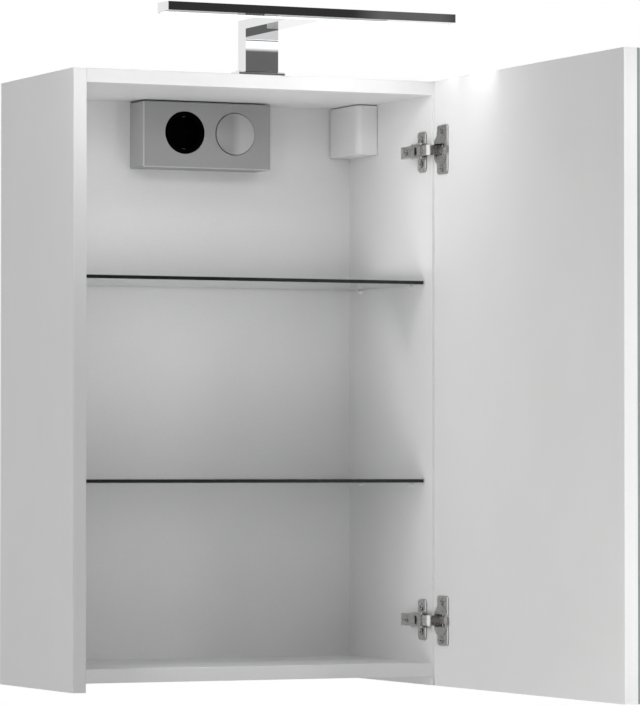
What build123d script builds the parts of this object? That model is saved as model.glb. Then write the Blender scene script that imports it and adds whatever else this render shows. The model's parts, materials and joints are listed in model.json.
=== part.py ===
from build123d import *
import os

# Bathroom mirror cabinet with one mirrored door, two glass shelves, a socket and
# switch box and a lamp on top. Millimetres. The origin is the centre of the wall
# face, X runs to the right, Y into the wall, Z up. The door is drawn open at a
# right angle.

# Carcass
cabinet_width = 462.0
cabinet_height = 700.0
cabinet_depth = 232.0
panel_thickness = 16.0
bottom_rise = 10.4
back_thickness = 5.0
panel_edge_round = 0.8

# Panel joints
dowel_radius = 4.0
dowel_length = 30.0
dowel_depth_in_side = 10.0
dowel_inset = 64.0
cam_inset = 36.0
cam_radius = 7.5
cam_depth = 12.0
cam_setback = 24.0
cam_slot_width = 2.0
cam_slot_share = 0.7
cam_slot_depth = 2.5
cam_bolt_radius = 3.0
cam_bolt_depth_in_side = 11.0
fixing_clearance = 0.05

# Glass shelves
glass_thickness = 4.0
glass_setback = 20.0
glass_back_gap = 2.0
glass_side_gap = 1.5
glass_arris = 0.4
upper_shelf_height = 469.0
lower_shelf_height = 238.5
shelf_pin_radius = 2.5
shelf_pin_depth = 9.0
shelf_pin_reach = 5.0
shelf_pin_inset = 32.0
shelf_pin_collar_radius = 3.4
shelf_pin_collar_thickness = 1.0

# Door
door_board_thickness = 16.0
mirror_thickness = 4.0
mirror_arris = 0.5
door_gap = 2.8
side_reveal = 1.0
axis_from_door_end = 6.4
axis_from_door_face = 7.6

# Concealed hinges
hinge_from_top = 80.6
hinge_from_bottom = 75.4
cup_radius = 17.5
cup_wall = 0.6
cup_depth = 12.0
cup_floor = 0.8
cup_edge_distance = 2.5
cup_hole_clearance = 0.1
cup_lip = 1.0
flange_thickness = 1.9
flange_setback = 10.0
flange_width = 27.5
flange_bevel = 0.8
flange_height = 57.6
flange_corner = 4.0
rim_width = 1.5
rim_height = 0.5
rim_reach = 2.0
lip_step = 0.6
cup_slot_height = 14.0
cup_slot_reach = 28.0
cup_screw_spacing = 45.0
cup_screw_offset = 3.2
cup_screw_radius = 2.0
cup_screw_head_radius = 3.4
cup_screw_head_height = 1.1
cup_screw_length = 11.0
screw_recess_width = 0.9
screw_recess_share = 0.65
screw_recess_depth_share = 0.7
hinge_pin_radius = 1.25
hinge_pin_running_clearance = 0.05
hinge_pin_end_gap = 0.12
hinge_pin_seat_clearance = 0.02
eye_wall = 1.15
eye_shoulder = 1.5
eye_height = 8.0
gooseneck_height = 12.0
gooseneck_thickness = 2.4
gooseneck_bend = 3.4
gooseneck_top_gap = 0.1
plate_setback = 24.0
plate_wing_width = 21.0
plate_wing_height = 47.6
plate_wing_thickness = 2.2
plate_wing_corner = 5.0
plate_saddle_height = 8.6
plate_saddle_half = 4.8
plate_saddle_front = 9.5
plate_saddle_back = 48.0
plate_saddle_step = 30.0
plate_saddle_top_gap = 0.05
plate_screw_spacing = 28.4
plate_screw_radius = 2.6
plate_screw_head_radius = 3.7
plate_screw_head_height = 1.4
plate_screw_length = 12.0
arm_height = 14.4
arm_skirt = 8.2
arm_wall = 1.4
arm_half_front = 8.7
arm_half_back = 7.2
arm_front = -0.2
arm_shoulder = 27.0
arm_back = 54.0
arm_corner = 1.0
arm_window_width = 13.0
arm_window_back = 2.6
arm_slot_width = 5.6
arm_slot_height = 9.4
arm_slot_setback = 14.5
arm_screw_radius = 2.0
arm_screw_head_radius = 3.2
arm_screw_head_height = 1.6
arm_screw_setback = 39.0
arm_screw_length = 13.0
rivet_radius = 1.5
rivet_clearance = 0.05
rivet_eye_wall = 0.95
rivet_setback = 6.0
rivet_head_radius = 2.2
rivet_head_height = 0.6

# Wall hangers and their caps
hanger_width = 16.0
hanger_depth = 62.0
hanger_height = 44.0
hanger_wall = 1.2
hanger_top_gap = 4.0
hook_width = 10.0
hook_thickness = 2.5
hook_drop = 9.0
hook_bar_height = 8.0
hook_side_gap = 0.8
hook_inset = 0.6
hook_slot_width = 14.0
hook_slot_height = 30.0
hanger_screw_spacing = 32.0
hanger_screw_rise = 10.0
hanger_screw_radius = 2.2
hanger_screw_head_radius = 3.8
hanger_screw_head_height = 1.6
hanger_screw_length = 13.0
adjuster_radius = 3.0
adjuster_offset = 16.0
adjuster_head_radius = 4.2
adjuster_head_height = 2.0
cap_width = 26.4
cap_depth = 79.0
cap_height = 58.5
cap_wall = 1.4
cap_corner = 7.0
cap_top_gap = 1.2
cap_side_gap = 0.8
cap_back_gap = 2.0

# Lamp
lamp_centre_x = 2.0
lamp_bar_width = 351.0
lamp_bar_depth = 31.0
lamp_bar_front_height = 9.4
lamp_bar_back_height = 11.4
lamp_bar_reach = 138.0
lamp_bar_top = 64.4
lamp_bar_top_slope = 0.8
lamp_bar_wall = 1.2
lamp_bar_edge_round = 0.5
lamp_diffuser_thickness = 1.6
lamp_diffuser_side_gap = 0.15
lamp_board_thickness = 1.2
lamp_board_width = 18.0
lamp_led_size = 2.8
lamp_led_height = 0.7
lamp_led_count = 24
lamp_end_cap_thickness = 1.6
lamp_arm_width = 40.6
lamp_arm_thickness = 10.4
lamp_arm_drop = 1.4
lamp_post_depth = 21.4
lamp_post_setback = 6.0
lamp_arm_corner = 1.2
lamp_duct_width = 12.0
lamp_duct_height = 4.4
lamp_base_width = 59.4
lamp_base_depth = 22.4
lamp_base_thickness = 4.2
lamp_base_lead = 0.3
lamp_base_corner = 1.5
lamp_base_bevel = 1.4
lamp_screw_spacing = 50.0
lamp_screw_radius = 1.5
lamp_screw_head_radius = 2.7
lamp_screw_head_height = 1.0
lamp_screw_length = 12.0

# Socket and switch box
box_width = 163.0
box_height = 78.0
box_depth = 42.0
box_wall = 2.2
box_centre_x = 10.6
box_top_gap = 1.5
box_corner = 2.0
box_least_corner = 0.8
box_cover_thickness = 2.4
box_cover_chamfer = 1.2
box_lip_depth = 3.0
box_lip_wall = 1.2
box_lip_clearance = 0.15
box_screw_spacing = 128.0
box_screw_drop = 26.0
box_screw_radius = 1.5
box_screw_head_radius = 2.8
box_screw_head_height = 1.2
box_screw_bite = 4.5
fitting_spacing = 64.2
fitting_offset = 3.4
fitting_rise = 2.6
fitting_radius = 25.2
insert_gap = 0.3
insert_flange_thickness = 2.0
socket_well_radius = 19.7
socket_well_depth = 17.0
insert_wall = 1.6
contact_hole_radius = 2.7
contact_spacing = 19.0
sleeve_radius = 3.6
sleeve_bore_radius = 2.4
sleeve_length = 13.0
earth_clip_width = 4.0
earth_clip_thickness = 0.8
earth_clip_gap = 0.15
earth_clip_lead = 4.0
earth_clip_tail = 6.0
button_gap = 0.8
button_travel = 2.5
button_dome = 3.4
button_dome_share = 0.76
button_rim_height = 1.4
button_skirt = 6.0
button_shell = 1.8
button_stem_radius = 3.5
button_stem_clearance = 0.25
button_stem_entry = 5.0
switch_module_size = 30.0
switch_module_depth = 20.0
switch_module_corner = 1.5
driver_width = 46.0
driver_height = 13.0
driver_depth = 18.0
driver_offset = -12.0
terminal_width = 24.0
terminal_height = 10.0
terminal_depth = 12.0
terminal_offset = 46.0
terminal_way_radius = 1.6
terminal_way_count = 3
grommet_bore_radius = 4.0
grommet_neck_radius = 6.0
grommet_flange_radius = 8.5
grommet_flange_thickness = 1.5

# Positions that follow from the sizes above
half_width = cabinet_width / 2
inner_x = half_width - panel_thickness
top_z = cabinet_height / 2
bottom_z = -top_z
front_y = -cabinet_depth
ceiling_z = top_z - panel_thickness
floor_underside_z = bottom_z + bottom_rise
floor_z = floor_underside_z + panel_thickness
back_face_y = -back_thickness
axis_x = half_width - side_reveal - axis_from_door_end
axis_y = front_y - door_gap - axis_from_door_face
door_width = cabinet_width - side_reveal
door_face_x = axis_x - axis_from_door_face
door_end_y = axis_y + axis_from_door_end
mirror_x = door_face_x + door_board_thickness
cup_y = door_end_y - cup_edge_distance - cup_radius
upper_hinge_z = top_z - hinge_from_top
lower_hinge_z = bottom_z + hinge_from_bottom
hinge_heights = {"upper": upper_hinge_z, "lower": lower_hinge_z}


def slab(x, y, z, mode=Mode.ADD):
    """Box between the low and high values of each axis."""
    with Locations((x[0], y[0], z[0])):
        Box(x[1] - x[0], y[1] - y[0], z[1] - z[0], align=(Align.MIN,) * 3, mode=mode)


def rod(start, direction, radius, length, mode=Mode.ADD):
    """Cylinder from a start point along a direction."""
    with BuildSketch(Plane(origin=start, z_dir=direction)) as disc:
        Circle(radius)
    extrude(disc.sketch, amount=length, mode=mode)


def save(part, name):
    """Labels one finished piece and writes it as a STEP file."""
    part.part.label = name
    export_step(part.part, f"parts/{name}.step")


os.makedirs("parts", exist_ok=True)

# Carcass panels

side_holes_z = {
    "top": (ceiling_z + top_z) / 2,
    "bottom": (floor_underside_z + floor_z) / 2,
}
cam_y = [front_y + cam_inset, back_face_y - cam_inset]
dowel_y = [front_y + dowel_inset, back_face_y - dowel_inset]
upper_shelf_top = bottom_z + upper_shelf_height
lower_shelf_top = bottom_z + lower_shelf_height
shelf_tops = [upper_shelf_top, lower_shelf_top]
shelf_front_y = front_y + glass_setback
shelf_back_y = back_face_y - glass_back_gap
pin_y = [shelf_front_y + shelf_pin_inset, shelf_back_y - shelf_pin_inset]
pin_drop = glass_thickness + shelf_pin_radius
plate_y = front_y + plate_setback

# Hanger and lamp places that the panels need
hanger_top_z = ceiling_z - hanger_top_gap
hanger_low_z = hanger_top_z - hanger_height
hanger_middle_y = back_face_y - hanger_depth / 2
hanger_screw_z = hanger_low_z + hanger_screw_rise
hanger_screw_y = [
    hanger_middle_y - hanger_screw_spacing / 2,
    hanger_middle_y + hanger_screw_spacing / 2,
]
lamp_base_front_y = front_y + lamp_post_setback - lamp_base_lead
lamp_base_y = lamp_base_front_y + lamp_base_depth / 2
lamp_screw_x = [
    lamp_centre_x - lamp_screw_spacing / 2,
    lamp_centre_x + lamp_screw_spacing / 2,
]


def side_panel(side):
    """Side board with its dowel, bolt, shelf pin and, on the right, hinge screw holes."""
    inner = side * inner_x
    outer = side * half_width
    outward = (side, 0, 0)
    with BuildPart() as panel:
        slab(sorted([inner, outer]), (front_y, 0), (bottom_z, top_z))
        front_edges = panel.edges().group_by(Axis.Y)[0].filter_by(Axis.Z)
        fillet(front_edges, panel_edge_round)
        for z in side_holes_z.values():
            for y in dowel_y:
                start = (inner, y, z)
                hole_depth = dowel_depth_in_side + fixing_clearance
                rod(start, outward, dowel_radius + fixing_clearance, hole_depth, Mode.SUBTRACT)
            for y in cam_y:
                start = (inner, y, z)
                hole_depth = cam_bolt_depth_in_side + fixing_clearance
                rod(start, outward, cam_bolt_radius + fixing_clearance, hole_depth, Mode.SUBTRACT)
        for shelf_top in shelf_tops:
            for y in pin_y:
                start = (inner, y, shelf_top - pin_drop)
                hole_depth = shelf_pin_depth + fixing_clearance
                rod(start, outward, shelf_pin_radius + fixing_clearance, hole_depth, Mode.SUBTRACT)
        if side > 0:
            for hinge_z in hinge_heights.values():
                for offset in (-plate_screw_spacing / 2, plate_screw_spacing / 2):
                    start = (inner, plate_y, hinge_z + offset)
                    rod(start, outward, plate_screw_radius, plate_screw_length, Mode.SUBTRACT)
        for y in hanger_screw_y:
            start = (inner, y, hanger_screw_z)
            rod(start, outward, hanger_screw_radius, hanger_screw_length, Mode.SUBTRACT)
    return panel


def level_panel(low_z, cam_face_z, cam_direction, lamp=False):
    """Top or bottom board with dowel holes and cam pockets that open away from the inside."""
    middle_z = low_z + panel_thickness / 2
    with BuildPart() as panel:
        slab((-inner_x, inner_x), (front_y, back_face_y), (low_z, low_z + panel_thickness))
        front_edges = panel.edges().group_by(Axis.Y)[0].filter_by(Axis.X)
        fillet(front_edges, panel_edge_round)
        for side in (-1, 1):
            inward = (-side, 0, 0)
            for y in dowel_y:
                start = (side * inner_x, y, middle_z)
                hole_depth = dowel_length - dowel_depth_in_side + fixing_clearance
                rod(start, inward, dowel_radius + fixing_clearance, hole_depth, Mode.SUBTRACT)
            for y in cam_y:
                start = (side * inner_x, y, middle_z)
                rod(start, inward, cam_bolt_radius + fixing_clearance, cam_setback, Mode.SUBTRACT)
                pocket = (side * (inner_x - cam_setback), y, cam_face_z)
                pocket_radius = cam_radius + fixing_clearance
                rod(pocket, cam_direction, pocket_radius, cam_depth + fixing_clearance, Mode.SUBTRACT)
        if lamp:
            for screw_x in lamp_screw_x:
                start = (screw_x, lamp_base_y, top_z)
                rod(start, (0, 0, -1), lamp_screw_radius, lamp_screw_length, Mode.SUBTRACT)
            duct_start = (lamp_centre_x, lamp_base_y, low_z)
            rod(duct_start, (0, 0, 1), lamp_duct_height / 2, panel_thickness, Mode.SUBTRACT)
    return panel


side_panel_left = side_panel(-1)
save(side_panel_left, "side_panel_left")
side_panel_right = side_panel(1)
save(side_panel_right, "side_panel_right")
top_panel = level_panel(ceiling_z, top_z, (0, 0, -1), lamp=True)
save(top_panel, "top_panel")
bottom_panel = level_panel(floor_underside_z, floor_underside_z, (0, 0, 1))
save(bottom_panel, "bottom_panel")

grommet_x = box_centre_x
grommet_z = ceiling_z - box_top_gap - box_height / 2
hanger_x = inner_x - hanger_width / 2
hook_z = hanger_top_z - hook_slot_height / 2 - hanger_wall

with BuildPart() as back_panel:
    slab((-inner_x, inner_x), (back_face_y, 0), (floor_underside_z, top_z))
    for offset in (-box_screw_spacing / 2, box_screw_spacing / 2):
        start = (box_centre_x + offset, back_face_y, grommet_z - box_screw_drop)
        rod(start, (0, 1, 0), box_screw_radius, box_screw_bite, Mode.SUBTRACT)
    neck = grommet_neck_radius + fixing_clearance
    rod((grommet_x, back_face_y, grommet_z), (0, 1, 0), neck, back_thickness, Mode.SUBTRACT)
    for side in (-1, 1):
        slot_x = side * hanger_x
        slab(
            (slot_x - hook_slot_width / 2, slot_x + hook_slot_width / 2),
            (back_face_y, 0),
            (hook_z - hook_slot_height / 2, hook_z + hook_slot_height / 2),
            Mode.SUBTRACT,
        )
save(back_panel, "back_panel")

# Wooden dowels, two in each panel joint
with BuildPart() as wood_dowels:
    for side in (-1, 1):
        for z in side_holes_z.values():
            for y in dowel_y:
                start = (side * (inner_x + dowel_depth_in_side), y, z)
                rod(start, (-side, 0, 0), dowel_radius, dowel_length)
save(wood_dowels, "wood_dowels")

# Cam bolts screwed into the sides, each with a waist and a head that its cam grips
with BuildPart() as cam_bolts:
    for side in (-1, 1):
        for z in side_holes_z.values():
            for y in cam_y:
                start = (side * (inner_x + cam_bolt_depth_in_side), y, z)
                reach = cam_bolt_depth_in_side + cam_setback - cam_radius - fixing_clearance
                rod(start, (-side, 0, 0), cam_bolt_radius, reach)
save(cam_bolts, "cam_bolts")

# Cam locks, each with a screwdriver slot across its outer face
cam_faces = {"top": (top_z, -1), "bottom": (floor_underside_z, 1)}
with BuildPart() as cam_locks:
    for side in (-1, 1):
        for face_z, direction in cam_faces.values():
            for y in cam_y:
                centre_x = side * (inner_x - cam_setback)
                rod((centre_x, y, face_z), (0, 0, direction), cam_radius, cam_depth)
                slot_z = sorted([face_z, face_z + direction * cam_slot_depth])
                slot_reach = cam_radius * cam_slot_share
                slab(
                    (centre_x - slot_reach, centre_x + slot_reach),
                    (y - cam_slot_width / 2, y + cam_slot_width / 2),
                    slot_z,
                    Mode.SUBTRACT,
                )
save(cam_locks, "cam_locks")

# Rubber grommet for the mains cable, with a flange on each face of the back panel
with BuildPart() as cable_grommet:
    inner_flange_y = back_face_y - grommet_flange_thickness
    rod((grommet_x, inner_flange_y, grommet_z), (0, 1, 0), grommet_flange_radius, grommet_flange_thickness)
    rod((grommet_x, back_face_y, grommet_z), (0, 1, 0), grommet_neck_radius, back_thickness)
    bore_length = back_thickness + grommet_flange_thickness
    rod((grommet_x, inner_flange_y, grommet_z), (0, 1, 0), grommet_bore_radius, bore_length, Mode.SUBTRACT)
save(cable_grommet, "cable_grommet")

# Glass shelves with ground edges, on four pins each
shelf_half = inner_x - glass_side_gap
for name, shelf_top in (("glass_shelf_upper", upper_shelf_top), ("glass_shelf_lower", lower_shelf_top)):
    with BuildPart() as glass_shelf:
        slab((-shelf_half, shelf_half), (shelf_front_y, shelf_back_y), (shelf_top - glass_thickness, shelf_top))
        chamfer(glass_shelf.edges().filter_by(Axis.Z, reverse=True), glass_arris)
    save(glass_shelf, name)

with BuildPart() as shelf_pins:
    for side in (-1, 1):
        for shelf_top in shelf_tops:
            for y in pin_y:
                z = shelf_top - pin_drop
                start = (side * (inner_x + shelf_pin_depth), y, z)
                rod(start, (-side, 0, 0), shelf_pin_radius, shelf_pin_depth + shelf_pin_reach)
                collar_radius = min(shelf_pin_collar_radius, shelf_pin_radius + glass_side_gap)
                rod((side * inner_x, y, z), (-side, 0, 0), collar_radius, shelf_pin_collar_thickness)
save(shelf_pins, "shelf_pins")

# Door board with the drilled holes for both hinge cups
with BuildPart() as door_board:
    slab((door_face_x, mirror_x), (door_end_y - door_width, door_end_y), (bottom_z, top_z))
    fillet(door_board.edges().group_by(Axis.X)[0].filter_by(Axis.Z), panel_edge_round)
    for hinge_z in hinge_heights.values():
        hole_radius = cup_radius + cup_hole_clearance
        hole_depth = cup_depth + cup_hole_clearance
        rod((door_face_x, cup_y, hinge_z), (1, 0, 0), hole_radius, hole_depth, Mode.SUBTRACT)
        for offset in (-cup_screw_spacing / 2, cup_screw_spacing / 2):
            start = (door_face_x, cup_y - cup_screw_offset, hinge_z + offset)
            rod(start, (1, 0, 0), cup_screw_radius, cup_screw_length, Mode.SUBTRACT)
save(door_board, "door_board")

with BuildPart() as door_mirror:
    slab(
        (mirror_x, mirror_x + mirror_thickness),
        (door_end_y - door_width, door_end_y),
        (bottom_z, top_z),
    )
    chamfer(door_mirror.edges().group_by(Axis.X)[-1], mirror_arris)
save(door_mirror, "door_mirror")

# Concealed hinges: a single pin in the wall of each cup, on the door's axis, carries
# the curved end of a fixed arm that sits on a plate screwed to the right side.


def cross_recess(centre, normal, head_radius, depth):
    """Cross cut for a screwdriver in the face of a screw head."""
    along_x = abs(normal[0]) > 0.5
    along_y = abs(normal[1]) > 0.5
    reach = head_radius * screw_recess_share
    half = screw_recess_width / 2
    for first, second in ((reach, half), (half, reach)):
        extents = [first, second]
        ranges = []
        for axis, is_normal in enumerate((along_x, along_y, not (along_x or along_y))):
            if is_normal:
                ranges.append(sorted([centre[axis], centre[axis] - normal[axis] * depth]))
            else:
                size = extents.pop()
                ranges.append((centre[axis] - size, centre[axis] + size))
        slab(*ranges, Mode.SUBTRACT)


def pan_screw(seat, inward, shank_radius, length, head_radius, head_height):
    """Screw whose low round head stands on a face and whose shank runs inward."""
    outward = tuple(-value for value in inward)
    rod(seat, inward, shank_radius, length)
    rod(seat, outward, head_radius, head_height)
    face = tuple(point + value * head_height for point, value in zip(seat, outward))
    cross_recess(face, outward, head_radius, head_height * screw_recess_depth_share)


def mounting_plate(hinge_z):
    """Cross plate on the side panel with a saddle for the arm."""
    with BuildPart() as plate:
        with BuildSketch(Plane(origin=(inner_x, plate_y, hinge_z), x_dir=(0, 1, 0), z_dir=(-1, 0, 0))) as wing:
            RectangleRounded(plate_wing_width, plate_wing_height, plate_wing_corner)
        extrude(wing.sketch, amount=plate_wing_thickness)
        top_edges = plate.faces().sort_by(Axis.X)[0].edges()
        chamfer(top_edges, flange_bevel)
        saddle_z = (hinge_z - plate_saddle_half, hinge_z + plate_saddle_half)
        front = front_y + plate_saddle_front
        back = front_y + plate_saddle_back
        step = front_y + plate_saddle_step
        slab((inner_x - plate_saddle_height, inner_x), (front, back), saddle_z)
        high = arm_height - arm_wall - plate_saddle_top_gap
        slab((inner_x - high, inner_x), (step, back), saddle_z)
        start = (inner_x - high, front_y + arm_screw_setback, hinge_z)
        depth = arm_screw_length - arm_wall
        rod(start, (1, 0, 0), arm_screw_radius + fixing_clearance, depth, Mode.SUBTRACT)
        for offset in (-plate_screw_spacing / 2, plate_screw_spacing / 2):
            start = (inner_x - plate_wing_thickness, plate_y, hinge_z + offset)
            radius = plate_screw_radius + fixing_clearance
            rod(start, (1, 0, 0), radius, plate_wing_thickness, Mode.SUBTRACT)
    return plate


def plate_screws(hinge_z):
    """Two pan screws that hold the mounting plate."""
    with BuildPart() as screws:
        for offset in (-plate_screw_spacing / 2, plate_screw_spacing / 2):
            seat = (inner_x - plate_wing_thickness, plate_y, hinge_z + offset)
            length = plate_wing_thickness + plate_screw_length
            head_height = plate_screw_head_height
            pan_screw(seat, (1, 0, 0), plate_screw_radius, length, plate_screw_head_radius, head_height)
    return screws


def arm_outline(half_front, half_back, front, back):
    """Plan of the arm about its own centre line, Y from the carcass front."""
    with BuildLine() as outline:
        points = [
            (back, half_back),
            (arm_shoulder + half_front - half_back, half_back),
            (arm_shoulder, half_front),
            (front, half_front),
        ]
        lower = [(y, -z) for y, z in reversed(points)]
        Polyline(*points, *lower, close=True)
    make_face(outline.edges())


def arm_plane(height, hinge_z):
    """Plane parallel to the side panel at a height above it, first axis along +Y."""
    return Plane(origin=(inner_x - height, front_y, hinge_z), x_dir=(0, 1, 0), z_dir=(1, 0, 0))


def hinge_arm(hinge_z):
    """Stamped channel that clips over the saddle, open in front for the gooseneck."""
    with BuildPart() as arm:
        with BuildSketch(arm_plane(arm_height, hinge_z)) as shell:
            arm_outline(arm_half_front, arm_half_back, arm_front, arm_back)
        extrude(shell.sketch, amount=arm_skirt)
        fillet(arm.faces().sort_by(Axis.X)[0].edges(), arm_corner)
        with BuildSketch(arm_plane(arm_height - arm_wall, hinge_z)) as hollow:
            half_front = arm_half_front - arm_wall
            half_back = arm_half_back - arm_wall
            arm_outline(half_front, half_back, arm_front - arm_wall, arm_back - arm_wall)
        extrude(hollow.sketch, amount=arm_skirt, mode=Mode.SUBTRACT)
        top_x = (inner_x - arm_height, inner_x - arm_height + arm_wall)
        slot_y = front_y + arm_slot_setback
        slab(
            top_x,
            (slot_y - arm_slot_width / 2, slot_y + arm_slot_width / 2),
            (hinge_z - arm_slot_height / 2, hinge_z + arm_slot_height / 2),
            Mode.SUBTRACT,
        )
        slab(
            top_x,
            (front_y + arm_front, front_y + arm_window_back),
            (hinge_z - arm_window_width / 2, hinge_z + arm_window_width / 2),
            Mode.SUBTRACT,
        )
        start = (inner_x - arm_height, front_y + arm_screw_setback, hinge_z)
        rod(start, (1, 0, 0), arm_screw_radius + fixing_clearance, arm_wall, Mode.SUBTRACT)
        rivet_start = (rivet_x, rivet_y, hinge_z - arm_half_front)
        rod(rivet_start, (0, 0, 1), rivet_radius + rivet_clearance, 2 * arm_half_front, Mode.SUBTRACT)
    return arm


def arm_screw(hinge_z):
    """Screw that clamps the arm to the saddle."""
    with BuildPart() as screw:
        seat = (inner_x - arm_height, front_y + arm_screw_setback, hinge_z)
        head_radius = arm_screw_head_radius
        pan_screw(seat, (1, 0, 0), arm_screw_radius, arm_screw_length, head_radius, arm_screw_head_height)
    return screw


# Centre lines of the bent strip and of the two barrels rolled at its ends
eye_radius = hinge_pin_radius + hinge_pin_running_clearance + eye_wall
rivet_eye_radius = rivet_radius + rivet_clearance + rivet_eye_wall
gooseneck_x = inner_x - arm_height + arm_wall + gooseneck_top_gap + gooseneck_thickness / 2
gooseneck_y = axis_y - eye_radius + gooseneck_thickness / 2
rivet_x = gooseneck_x - gooseneck_thickness / 2 + rivet_eye_radius
rivet_y = front_y + rivet_setback


def gooseneck(hinge_z):
    """Bent strip from the rivet in the arm to the pin in the cup."""
    half = gooseneck_height / 2
    with BuildPart() as strip:
        with BuildSketch(Plane.XY.offset(hinge_z - half)) as bend:
            with BuildLine():
                corner = (gooseneck_x, gooseneck_y)
                FilletPolyline((gooseneck_x, rivet_y), corner, (axis_x, gooseneck_y), radius=gooseneck_bend)
            trace(line_width=gooseneck_thickness)
        extrude(bend.sketch, amount=gooseneck_height)
        rod((rivet_x, rivet_y, hinge_z - half), (0, 0, 1), rivet_eye_radius, gooseneck_height)
        for side in (-1, 1):
            trim_z = sorted([hinge_z + side * eye_height / 2, hinge_z + side * half])
            trim_x = (axis_x - eye_shoulder * eye_radius, axis_x + eye_radius)
            slab(trim_x, (axis_y - eye_radius, axis_y + eye_radius), trim_z, Mode.SUBTRACT)
        rod((axis_x, axis_y, hinge_z - eye_height / 2), (0, 0, 1), eye_radius, eye_height)
        bore = hinge_pin_radius + hinge_pin_running_clearance
        rod((axis_x, axis_y, hinge_z - half), (0, 0, 1), bore, gooseneck_height, Mode.SUBTRACT)
        bore = rivet_radius + rivet_clearance
        rod((rivet_x, rivet_y, hinge_z - half), (0, 0, 1), bore, gooseneck_height, Mode.SUBTRACT)
    return strip


def arm_rivet(hinge_z):
    """Headed rivet through the arm walls and the tail barrel of the gooseneck."""
    with BuildPart() as rivet:
        low = hinge_z - arm_half_front - rivet_head_height
        length = 2 * (arm_half_front + rivet_head_height)
        rod((rivet_x, rivet_y, low), (0, 0, 1), rivet_radius, length)
        rod((rivet_x, rivet_y, low), (0, 0, 1), rivet_head_radius, rivet_head_height)
        high = hinge_z + arm_half_front
        rod((rivet_x, rivet_y, high), (0, 0, 1), rivet_head_radius, rivet_head_height)
    return rivet


def hinge_cup(hinge_z):
    """Cup let into the door, with its screw flange, a raised rim and a slot for the gooseneck."""
    inner_radius = cup_radius - cup_wall
    flange_x = door_face_x - flange_thickness
    flange_y = door_end_y - flange_setback - flange_width / 2
    with BuildPart() as cup:
        flange_plane = Plane(origin=(door_face_x, flange_y, hinge_z), x_dir=(0, 1, 0), z_dir=(-1, 0, 0))
        with BuildSketch(flange_plane) as flange:
            RectangleRounded(flange_width, flange_height, flange_corner)
        extrude(flange.sketch, amount=flange_thickness)
        chamfer(cup.faces().sort_by(Axis.X)[0].edges(), flange_bevel)
        rod((flange_x, cup_y, hinge_z), (1, 0, 0), cup_radius + cup_lip, flange_thickness)
        rod((flange_x - rim_height, cup_y, hinge_z), (1, 0, 0), inner_radius + rim_width, rim_height)
        slab(
            (flange_x - rim_height, flange_x + lip_step),
            (axis_y + rim_reach, door_end_y),
            (hinge_z - cup_radius, hinge_z + cup_radius),
            Mode.SUBTRACT,
        )
        rod((door_face_x, cup_y, hinge_z), (1, 0, 0), cup_radius, cup_depth)
        mouth = Plane(origin=(flange_x - rim_height, cup_y, hinge_z), x_dir=(0, 1, 0), z_dir=(1, 0, 0))
        with BuildSketch(mouth) as slot:
            Circle(inner_radius)
            with Locations((inner_radius - cup_slot_reach / 2, 0)):
                Rectangle(cup_slot_reach, cup_slot_height, mode=Mode.INTERSECT)
        cavity_depth = rim_height + flange_thickness + cup_depth - cup_floor
        extrude(slot.sketch, amount=cavity_depth, mode=Mode.SUBTRACT)
        seat_radius = hinge_pin_radius + hinge_pin_seat_clearance
        rod((axis_x, axis_y, hinge_z - cup_radius), (0, 0, 1), seat_radius, 2 * cup_radius, Mode.SUBTRACT)
        for offset in (-cup_screw_spacing / 2, cup_screw_spacing / 2):
            start = (flange_x, cup_y - cup_screw_offset, hinge_z + offset)
            rod(start, (1, 0, 0), cup_screw_radius + fixing_clearance, flange_thickness, Mode.SUBTRACT)
    return cup


def cup_screws(hinge_z):
    """Two screws that hold the cup flange to the door."""
    with BuildPart() as screws:
        for offset in (-cup_screw_spacing / 2, cup_screw_spacing / 2):
            seat = (door_face_x - flange_thickness, cup_y - cup_screw_offset, hinge_z + offset)
            length = flange_thickness + cup_screw_length
            head_height = cup_screw_head_height
            pan_screw(seat, (1, 0, 0), cup_screw_radius, length, cup_screw_head_radius, head_height)
    return screws


def hinge_pin(hinge_z):
    """Pin through the wall of the cup, its ends dressed flush with the round outside."""
    with BuildPart() as pin:
        rod((axis_x, axis_y, hinge_z - cup_radius), (0, 0, 1), hinge_pin_radius, 2 * cup_radius)
        envelope = cup_radius - hinge_pin_end_gap
        rod((door_face_x, cup_y, hinge_z), (1, 0, 0), envelope, cup_depth, Mode.INTERSECT)
    return pin


hinge_pieces = {
    "mounting_plate": mounting_plate,
    "plate_screws": plate_screws,
    "hinge_arm": hinge_arm,
    "arm_screw": arm_screw,
    "gooseneck": gooseneck,
    "arm_rivet": arm_rivet,
    "hinge_cup": hinge_cup,
    "cup_screws": cup_screws,
    "hinge_pin": hinge_pin,
}
for level, hinge_z in hinge_heights.items():
    for piece, make in hinge_pieces.items():
        save(make(hinge_z), f"{piece}_{level}")

# Wall hangers in the top rear corners: a folded steel body on the side panel, a hook
# that reaches the wall rail through the back panel, and a cap over both.


hook_x = inner_x - hanger_wall - hook_side_gap - hook_width / 2
adjuster_y = hanger_middle_y - adjuster_offset


def hanger_body(side):
    """Folded channel whose web lies on the side panel."""
    outer = side * inner_x
    inner = side * (inner_x - hanger_width)
    front = back_face_y - hanger_depth
    low_z = hanger_top_z - hanger_height
    with BuildPart() as body:
        slab(sorted([inner, outer]), (front, back_face_y), (low_z, hanger_top_z))
        slab(
            sorted([inner, side * (inner_x - hanger_wall)]),
            (front, back_face_y),
            (low_z + hanger_wall, hanger_top_z - hanger_wall),
            Mode.SUBTRACT,
        )
        for y in hanger_screw_y:
            start = (side * (inner_x - hanger_wall), y, hanger_screw_z)
            rod(start, (side, 0, 0), hanger_screw_radius + fixing_clearance, hanger_wall, Mode.SUBTRACT)
        bore = adjuster_radius + fixing_clearance
        rod((side * hook_x, adjuster_y, low_z), (0, 0, 1), bore, hanger_height, Mode.SUBTRACT)
    return body


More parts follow.
